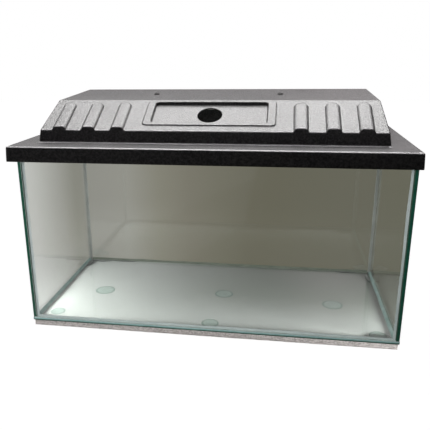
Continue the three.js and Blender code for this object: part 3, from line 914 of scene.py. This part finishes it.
# ----------------------------------------------------------------- silicone
def bead(name, node, origin, along, out_a, out_b, length, seed, mat, leg=4.8, smears=()):
    """A tooled silicone fillet: its right angle runs from origin along `along`, its legs lie on out_a and out_b."""
    origin, along, out_a, out_b = (np.array(v, float) for v in (origin, along, out_a, out_b))
    seg = max(12, int(length / 4))
    verts, faces = [], []
    nprof = 7
    for i in range(seg + 1):
        u = i / seg
        d = u * length
        la = leg + 0.9 * noise.noise(Vector((d * 0.022, seed, 0.3))) + 0.5 * noise.noise(Vector((d * 0.11, seed, 5.0)))
        lb = leg + 0.9 * noise.noise(Vector((d * 0.022, seed, 9.3))) + 0.5 * noise.noise(Vector((d * 0.11, seed, 2.0)))
        la, lb = min(la, 5.9), min(lb, 5.9)
        ring = [(0.0, 0.0)]
        for k in range(nprof):
            a = k / (nprof - 1) * math.pi / 2
            bulge = 0.62 + 0.10 * noise.noise(Vector((d * 0.05, seed, 7.0)))
            ring.append((la * (1 - bulge * math.sin(a)) if k < nprof - 1 else 0.0,
                         lb * (1 - bulge * math.cos(a)) if k > 0 else 0.0))
        for (a, b) in ring:
            verts.append(origin + along * d + out_a * a + out_b * b)
    m = nprof + 1
    flip = np.dot(np.cross(out_a, out_b), along) < 0
    for i in range(seg):
        for k in range(m):
            k2 = (k + 1) % m
            f = (i * m + k, i * m + k2, (i + 1) * m + k2, (i + 1) * m + k)
            faces.append(f if not flip else f[::-1])
    cap0 = tuple(range(m))
    cap1 = tuple(range(seg * m, seg * m + m))
    faces.append(cap0[::-1] if not flip else cap0)
    faces.append(cap1 if not flip else cap1[::-1])
    body_faces = len(faces)
    # thin smears of surplus sealant, each a closed film
    for (cx, u_dir, v_dir, normal, su, sv, th, sd) in smears:
        cx, u_dir, v_dir, normal = (np.array(v, float) for v in (cx, u_dir, v_dir, normal))
        start = len(verts)
        na, nk = 40, 5
        for side in (1, 0):
            for k in range(1, nk + 1):
                fr = k / nk
                for a in range(na):
                    ang = 2 * math.pi * a / na
                    rad = 1 + 0.38 * noise.noise(Vector((math.cos(ang) * 1.6, math.sin(ang) * 1.6, sd)))
                    h = th * (0.25 + 0.75 * math.sqrt(max(0.0, 1 - fr ** 2))) * (1 + 0.35 * noise.noise(Vector((math.cos(ang) * 2 * fr, math.sin(ang) * 2 * fr, sd + 5))))
                    if k == nk:
                        h = th * 0.2
                    p = cx + u_dir * su * rad * fr * math.cos(ang) + v_dir * sv * rad * fr * math.sin(ang)
                    p = p + normal * (h if side else 0.0)
                    if side or k <= nk:
                        verts.append(p)
        top_c = len(verts)
        verts.append(cx + normal * th)
        bot_c = len(verts)
        verts.append(cx)

        def at(side, k, a):
            return start + (0 if side else nk * na) + (k - 1) * na + a % na

        right = np.dot(np.cross(u_dir, v_dir), normal) > 0
        for a in range(na):
            tri = [(top_c, at(1, 1, a), at(1, 1, a + 1)), (bot_c, at(0, 1, a + 1), at(0, 1, a))]
            quads = []
            for k in range(1, nk):
                quads.append((at(1, k, a), at(1, k + 1, a), at(1, k + 1, a + 1), at(1, k, a + 1)))
                quads.append((at(0, k, a), at(0, k, a + 1), at(0, k + 1, a + 1), at(0, k + 1, a)))
            quads.append((at(1, nk, a), at(0, nk, a), at(0, nk, a + 1), at(1, nk, a + 1)))
            for f in tri + quads:
                faces.append(f if right else f[::-1])
    ob = mesh_object(name, verts, faces, [mat, SILICONE_FILM], [0] * body_faces + [1] * (len(faces) - body_faces), smooth=True, sharp=50)
    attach(ob, "tank")
    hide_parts(node)
    return ob


IX, IY = W2 - GLASS - 0.12, D2 - GLASS - 0.12
Z0 = BASE_Z + BASE_T + 0.12
for sx, sy, tag, sd in ((-1, -1, "front_left", 1.0), (1, -1, "front_right", 2.0), (-1, 1, "back_left", 3.0), (1, 1, "back_right", 4.0)):
    bead(f"silicone_corner_{tag}", f"corner_seal_{tag}", (T + sx * IX, sy * IY, WALL_Z + 0.2), (0, 0, 1),
         (-sx, 0, 0), (0, -sy, 0), RIM_Z - WALL_Z - 1.4, sd, SILICONE if sy < 0 else SILICONE_BACK)
up, down = (0, 0, 1), (0, 0, -1)
bead("silicone_floor_front", "floor_seal_front", (T - IX + 6, -IY, Z0), (1, 0, 0), (0, 1, 0), up, 2 * IX - 12, 5.0, SILICONE, 3.8, smears=(
    ((T + IX - 22, -IY + 9, Z0), (1, 0, 0), (0, 1, 0), up, 17, 6, 0.6, 21.0),
    ((T - IX + 14, -IY + 7, Z0), (1, 0, 0), (0, 1, 0), up, 10, 4, 0.5, 22.0),
))
bead("silicone_floor_back", "floor_seal_back", (T - IX + 6, IY, Z0), (1, 0, 0), (0, -1, 0), up, 2 * IX - 12, 6.0, SILICONE_REAR, 3.6, smears=(
    ((T - IX + 30, IY - 8, Z0), (1, 0, 0), (0, 1, 0), up, 24, 6, 0.7, 23.0),
    ((T - IX + 78, IY - 5.5, Z0), (1, 0, 0), (0, 1, 0), up, 26, 4, 0.9, 24.0),
    ((T - IX + 22, IY, Z0 + 14), (1, 0, 0), (0, 0, 1), (0, -1, 0), 18, 9, 0.6, 25.0),
    ((T + IX - 46, IY - 6, Z0), (1, 0, 0), (0, 1, 0), up, 22, 5, 0.7, 26.0),
    ((T + IX - 20, IY, Z0 + 8), (1, 0, 0), (0, 0, 1), (0, -1, 0), 14, 6, 0.5, 27.0),
))
bead("silicone_floor_left", "floor_seal_left", (T - IX, -IY + 6, Z0), (0, 1, 0), (1, 0, 0), up, 2 * IY - 12, 7.0, SILICONE_SIDE, 4.2, smears=(
    ((T - IX + 8, IY - 26, Z0), (0, 1, 0), (1, 0, 0), up, 16, 6, 0.6, 28.0),
))
bead("silicone_floor_right", "floor_seal_right", (T + IX, -IY + 6, Z0), (0, 1, 0), (-1, 0, 0), up, 2 * IY - 12, 8.0, SILICONE_SIDE, 4.2, smears=(
    ((T + IX - 8, IY - 34, Z0), (0, 1, 0), (1, 0, 0), up, 18, 6, 0.7, 29.0),
    ((T + IX, IY - 28, Z0 + 9), (0, 1, 0), (0, 0, 1), (-1, 0, 0), 16, 8, 0.5, 30.0),
))


# --------------------------------------------------------------------- foam
def foam_mat():
    x0, x1 = T - W2 + FOAM_INSET, T + W2 - FOAM_INSET
    y0, y1 = -D2 + FOAM_INSET, D2 - FOAM_INSET
    nx, ny = 150, 72
    zs = [0.0, 0.7, 2.5, 4.8, 7.0, 9.0, FOAM_T]
    ins = [0.55, 0.05, 0.15, 0.3, 0.1, 0.05, 0.6]
    verts, faces = [], []
    loop = ([(0, i) for i in range(nx)] + [(j, nx) for j in range(ny)]
            + [(ny, i) for i in range(nx, 0, -1)] + [(j, 0) for j in range(ny, 0, -1)])
    m = len(loop)

    def point(i, j, z, inset, rough):
        x = x0 + (x1 - x0) * i / nx
        y = y0 + (y1 - y0) * j / ny
        dx = dy = inset
        if rough:
            w = (0.22 + 0.5 * noise.noise(Vector((x * 0.06, y * 0.06, z * 0.25)))
                 + 0.25 * noise.noise(Vector((x * 0.3, y * 0.3, z * 0.8))))
            dx = dy = inset + min(max(w, 0.0), 0.9)
        if i == 0:
            x += dx
        if i == nx:
            x -= dx
        if j == 0:
            y += dy
        if j == ny:
            y -= dy
        return (x, y, z)

    ring_idx = []
    for z, inset in zip(zs, ins):
        start = len(verts)
        for (j, i) in loop:
            verts.append(point(i, j, z, inset, True))
        ring_idx.append(list(range(start, start + m)))
    for a, b in zip(ring_idx[:-1], ring_idx[1:]):
        for t in range(m):
            u = (t + 1) % m
            faces.append((a[t], a[u], b[u], b[t]))
    for z, ring, upper in ((0.0, ring_idx[0], False), (FOAM_T, ring_idx[-1], True)):
        where = {ji: ring[t] for t, ji in enumerate(loop)}
        for j in range(1, ny):
            for i in range(1, nx):
                where[(j, i)] = len(verts)
                verts.append(point(i, j, z, 0, False))
        for j in range(ny):
            for i in range(nx):
                f = (where[(j, i)], where[(j, i + 1)], where[(j + 1, i + 1)], where[(j + 1, i)])
                faces.append(f if upper else f[::-1])
    ob = mesh_object("foam_sheet", verts, faces, [FOAM], smooth=True, sharp=50)
    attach(ob, "tank")
    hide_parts("foam_mat")


foam_mat()


def dab(number, cx, cy, radius):
    """Adhesive pressed flat between mat and glass: a thin disc with an uneven rim."""
    na, verts, faces = 56, [], []
    rings = [(0.35, 9.96), (0.7, 9.96), (0.93, 9.95), (0.985, 9.92), (1.0, 9.84), (0.985, 9.76), (0.93, 9.73), (0.7, 9.73), (0.35, 9.73)]
    for fr, z in rings:
        for a in range(na):
            ang = 2 * math.pi * a / na
            rad = radius * (0.965 + 0.035 * noise.noise(Vector((math.cos(ang) * 1.3, math.sin(ang) * 1.3, number * 3.7))))
            verts.append((T + cx + rad * fr * math.cos(ang), cy + rad * fr * math.sin(ang), z))
    top = len(verts)
    verts.append((T + cx, cy, 9.96))
    bot = len(verts)
    verts.append((T + cx, cy, 9.73))
    for k in range(len(rings) - 1):
        for a in range(na):
            b = (a + 1) % na
            faces.append((k * na + b, k * na + a, (k + 1) * na + a, (k + 1) * na + b))
    last = (len(rings) - 1) * na
    for a in range(na):
        b = (a + 1) % na
        faces.append((top, a, b))
        faces.append((bot, last + b, last + a))
    ob = mesh_object(f"pressed_dab_{number}", verts, faces, [DAB], smooth=True, sharp=50)
    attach(ob, "tank")
    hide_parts(f"adhesive_dab_{number}")


for k, (cx, cy, radius) in enumerate(DABS):
    dab(k + 1, cx, cy, radius)


# --------------------------------------------------------- screws and lamp
def roof_matrix(x):
    m = Matrix.Rotation(BETA, 4, "X")
    m.translation = Vector((x, SCREW_Y, CREASE_Z + (SCREW_Y - CREASE_Y) * math.tan(BETA)))
    return np.array(m)


def cross_head_screw(side, x):
    """Pan head with a cross recess on a shank that ends in a chamfer."""
    na = 64
    web = -WALL - 0.3
    nut_top = web - 1.4 - 0.3 - 1 - 0.3
    prof = []
    for i in range(15):
        fr = i / 14
        r = 4.9 * math.sin(fr * math.pi / 2)
        z = 0.8 + 2.6 * math.cos(fr * math.pi / 2)
        prof.append((r, z))
    prof += [(4.9, 0.55), (4.72, 0.32), (2.4, 0.3), (2.36, 0.0), (2.36, nut_top - 5.7), (1.9, nut_top - 6.4)]
    verts, faces = [], []
    for r, z in prof[1:]:
        for a in range(na):
            ang = 2 * math.pi * a / na + 0.35
            px, py, pz = r * math.cos(ang), r * math.sin(ang), z
            if z > 0.9:
                arm = min(abs(px), abs(py))
                reach = max(abs(px), abs(py))
                cut = step(np.array(0.42 - arm), 0.35) * step(np.array(2.5 - reach), 0.5)
                pz = z - 1.1 * float(cut)
            verts.append((px, py, pz))
    top = len(verts)
    verts.append((0, 0, 3.4 - 1.1))
    bot = len(verts)
    verts.append((0, 0, nut_top - 6.4))
    k = len(prof) - 1
    for i in range(k - 1):
        for a in range(na):
            b = (a + 1) % na
            faces.append((i * na + b, i * na + a, (i + 1) * na + a, (i + 1) * na + b))
    for a in range(na):
        b = (a + 1) % na
        faces.append((top, a, b))
        faces.append((bot, (k - 1) * na + b, (k - 1) * na + a))
    m = roof_matrix(x)
    v = np.array(verts) @ m[:3, :3].T + m[:3, 3]
    ob = mesh_object(f"cross_screw_{side}", v, faces, [STEEL], smooth=True, sharp=40)
    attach(ob, "hood")
    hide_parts(f"roof_screw_{side}")


cross_head_screw("left", -SCREW_X)
cross_head_screw("right", SCREW_X)

for node, mat in (
    ("screw_washer_left", ZINC), ("screw_washer_right", ZINC), ("screw_nut_left", ZINC), ("screw_nut_right", ZINC),
    ("light_batten", PAINT), ("led_board", BOARD), ("light_diffuser", DIFFUSER),
    ("batten_end_cap_left", CAP), ("batten_end_cap_right", CAP),
):
    me = frame["nodes"][node].data
    me.materials.clear()
    me.materials.append(mat)


# -------------------------------------------------------------------- stage
def srgb(r, g, b):
    return tuple((c / 255 / 12.92) if c / 255 <= 0.04045 else ((c / 255 + 0.055) / 1.055) ** 2.4 for c in (r, g, b))


def make_stage():
    bm = bmesh.new()
    bmesh.ops.create_grid(bm, x_segments=8, y_segments=8, size=4.0)
    me = bpy.data.meshes.new("studio_floor")
    bm.to_mesh(me)
    bm.free()
    ob = bpy.data.objects.new("studio_floor", me)
    ob.location = (0, 0, -0.0004)
    bpy.context.scene.collection.objects.link(ob)
    n = Nodes("studio_floor")
    x, y, z = n.xyz()
    lp = n.add("ShaderNodeLightPath")
    # what the glass sees of the floor: light on the left, dim on the right, dark in front
    fan = n.math("DIVIDE", n.math("SUBTRACT", x, 0.113), n.math("MAXIMUM", n.math("ADD", y, 0.95), 0.2))
    grad = n.ramp(n.map(fan, -0.55, 0.45, 0.0, 1.0), [
        (0.00, srgb(226, 226, 224)), (0.067, srgb(212, 211, 208)), (0.12, srgb(178, 177, 172)), (0.155, srgb(150, 149, 141)),
        (0.203, srgb(152, 150, 143)), (0.264, srgb(155, 153, 145)), (0.324, srgb(138, 135, 122)), (0.383, srgb(126, 122, 109)),
        (0.44, srgb(118, 115, 101)), (0.50, srgb(111, 108, 94)), (0.70, srgb(112, 110, 98)), (1.0, srgb(104, 106, 95))])
    front = n.map(y, -0.45, 0.02, 0.22, 1.0, smooth=True)
    grad = n.mix(1.0, grad, n.ramp(front, [(0.0, (0.0, 0.0, 0.0)), (1.0, (1.0, 1.0, 1.0))]), "MULTIPLY")
    em = n.add("ShaderNodeEmission")
    n.link(grad, em.inputs["Color"])
    # what the camera sees: a pale floor that keeps a soft contact shade
    dif = n.add("ShaderNodeBsdfDiffuse")
    dif.inputs["Color"].default_value = (0.9, 0.9, 0.9, 1)
    em2 = n.add("ShaderNodeEmission")
    em2.inputs["Color"].default_value = (1, 1, 1, 1)
    em2.inputs["Strength"].default_value = 0.90
    add = n.add("ShaderNodeAddShader")
    n.link(dif.outputs[0], add.inputs[0])
    n.link(em2.outputs[0], add.inputs[1])
    mix = n.add("ShaderNodeMixShader")
    n.link(lp.outputs["Is Camera Ray"], mix.inputs["Fac"])
    n.link(em.outputs[0], mix.inputs[1])
    n.link(add.outputs[0], mix.inputs[2])
    n.link(mix.outputs[0], n.out.inputs["Surface"])
    me.materials.append(n.mat)


make_stage()


def make_world():
    w = bpy.data.worlds.new("studio")
    bpy.context.scene.world = w
    w.use_nodes = True
    t = w.node_tree
    t.nodes.clear()
    out = t.nodes.new("ShaderNodeOutputWorld")
    tc = t.nodes.new("ShaderNodeTexCoord")
    sep = t.nodes.new("ShaderNodeSeparateXYZ")
    t.links.new(tc.outputs["Generated"], sep.inputs[0])

    def ramp(sock, stops, a0=-1.0, a1=1.0):
        mr = t.nodes.new("ShaderNodeMapRange")
        mr.inputs["From Min"].default_value = a0
        mr.inputs["From Max"].default_value = a1
        t.links.new(sock, mr.inputs["Value"])
        n = t.nodes.new("ShaderNodeValToRGB")
        n.color_ramp.interpolation = "EASE"
        el = n.color_ramp.elements
        while len(el) > 1:
            el.remove(el[-1])
        el[0].position, el[0].color = stops[0][0], stops[0][1] + (1,)
        for p, c in stops[1:]:
            e = el.new(p)
            e.color = c + (1,)
        t.links.new(mr.outputs[0], n.inputs["Fac"])
        return n.outputs["Color"]

    def mixc(kind, fac, a, b):
        n = t.nodes.new("ShaderNodeMix")
        n.data_type = "RGBA"
        n.blend_type = kind
        socks = {s.name: s for s in n.inputs if s.enabled}
        for nm, v in (("Factor", fac), ("A", a), ("B", b)):
            if isinstance(v, float):
                socks[nm].default_value = v
            elif isinstance(v, tuple):
                socks[nm].default_value = v + (1,)
            else:
                t.links.new(v, socks[nm])
        return [s for s in n.outputs if s.enabled][0]

    side = ramp(sep.outputs[0], [
        (0.00, (0.62, 0.62, 0.60)), (0.27, srgb(192, 190, 190)), (0.36, srgb(156, 153, 153)), (0.44, srgb(128, 123, 124)),
        (0.49, srgb(126, 120, 122)), (0.55, srgb(198, 186, 188)), (0.62, srgb(164, 158, 160)), (0.72, srgb(120, 114, 116)), (1.0, srgb(96, 99, 92))])
    depth = ramp(sep.outputs[1], [(0.0, (0.05, 0.05, 0.052)), (0.42, (0.10, 0.10, 0.102)), (0.60, (1, 1, 1)), (1.0, (1, 1, 1))])
    room = mixc("MULTIPLY", 1.0, side, depth)
    # brighter overhead
    high = ramp(sep.outputs[2], [(0.0, (0, 0, 0)), (0.60, (0, 0, 0)), (0.85, (1, 1, 1)), (1.0, (1, 1, 1))])
    room = mixc("MIX", high, room, (0.30, 0.29, 0.30))
    bg = t.nodes.new("ShaderNodeBackground")
    t.links.new(room, bg.inputs["Color"])
    white = t.nodes.new("ShaderNodeBackground")
    white.inputs["Color"].default_value = (1, 1, 1, 1)
    lp = t.nodes.new("ShaderNodeLightPath")
    dim = t.nodes.new("ShaderNodeMapRange")
    dim.inputs["To Min"].default_value = 1.0
    dim.inputs["To Max"].default_value = 0.36
    t.links.new(lp.outputs["Is Diffuse Ray"], dim.inputs["Value"])
    t.links.new(dim.outputs[0], bg.inputs["Strength"])
    mix = t.nodes.new("ShaderNodeMixShader")
    t.links.new(lp.outputs["Is Camera Ray"], mix.inputs["Fac"])
    t.links.new(bg.outputs[0], mix.inputs[1])
    t.links.new(white.outputs[0], mix.inputs[2])
    t.links.new(mix.outputs[0], out.inputs["Surface"])


make_world()


def area(name, loc, aim, sx, sy, power, colour=(1, 1, 1), diffuse=True, glossy=True):
    li = bpy.data.lights.new(name, "AREA")
    li.shape = "RECTANGLE"
    li.size, li.size_y = sx, sy
    li.energy = power
    li.color = colour
    ob = bpy.data.objects.new(name, li)
    bpy.context.scene.collection.objects.link(ob)
    ob.location = loc
    ob.rotation_mode = "QUATERNION"
    ob.rotation_quaternion = (Vector(aim) - Vector(loc)).to_track_quat("-Z", "Y")
    ob.visible_camera = False
    ob.visible_diffuse = diffuse
    ob.visible_glossy = glossy
    ob.visible_transmission = False
    return ob


# the ceiling panel's broad sheen belongs to the hood alone
lid = bpy.data.collections.new("lid_receivers")
for ob in bpy.context.scene.objects:
    if ob.name == "hood_shell_moulding":
        lid.objects.link(ob)
panel = area("ceiling_panel", (-0.06, 0.36, 1.42), (0.0, -0.07, 0.35), 1.65, 0.8, PANEL_W, (1.0, 0.995, 0.985))
panel.light_linking.receiver_collection = lid
strip = area("front_strip", (-0.10, -0.55, 1.25), (0.0, -0.10, 0.33), 1.2, 0.25, 2.7, (1.0, 0.99, 1.0))
strip.light_linking.receiver_collection = lid
# low window light falls on the mat through the side and front panes
glazed = bpy.data.collections.new("mat_receivers")
for ob in bpy.context.scene.objects:
    if ob.name == "foam_sheet" or ob.name.startswith("pressed_dab"):
        glazed.objects.link(ob)
for name, loc, aim, sx, sy, power in (
    ("window_left", (-0.42, -0.19, 0.16), (-0.24, -0.09, 0.02), 0.20, 0.14, 2.2),
    ("window_right", (0.40, -0.23, 0.09), (0.28, -0.14, 0.02), 0.10, 0.06, 0.9),
    ("front_bounce", (0.02, -0.205, 0.045), (0.02, -0.12, 0.015), 0.56, 0.03, 0.40),
):
    low = area(name, loc, aim, sx, sy, power, (1.0, 1.0, 0.99), glossy=False)
    low.light_linking.receiver_collection = glazed

# soft fill on the glass edges and the sealant
edged = bpy.data.collections.new("glass_receivers")
for ob in bpy.context.scene.objects:
    if ob.name.startswith(("glass_", "silicone_")):
        edged.objects.link(ob)
fill = area("edge_fill", (-0.10, -0.62, 0.34), (0.0, -0.10, 0.10), 0.9, 0.4, 4.2, (1.0, 1.0, 1.0), glossy=False)
fill.light_linking.receiver_collection = edged

scene = bpy.context.scene
scene.view_settings.view_transform = "Standard"
scene.view_settings.look = "None"
scene.view_settings.exposure = 0.0
scene.view_settings.gamma = 1.0
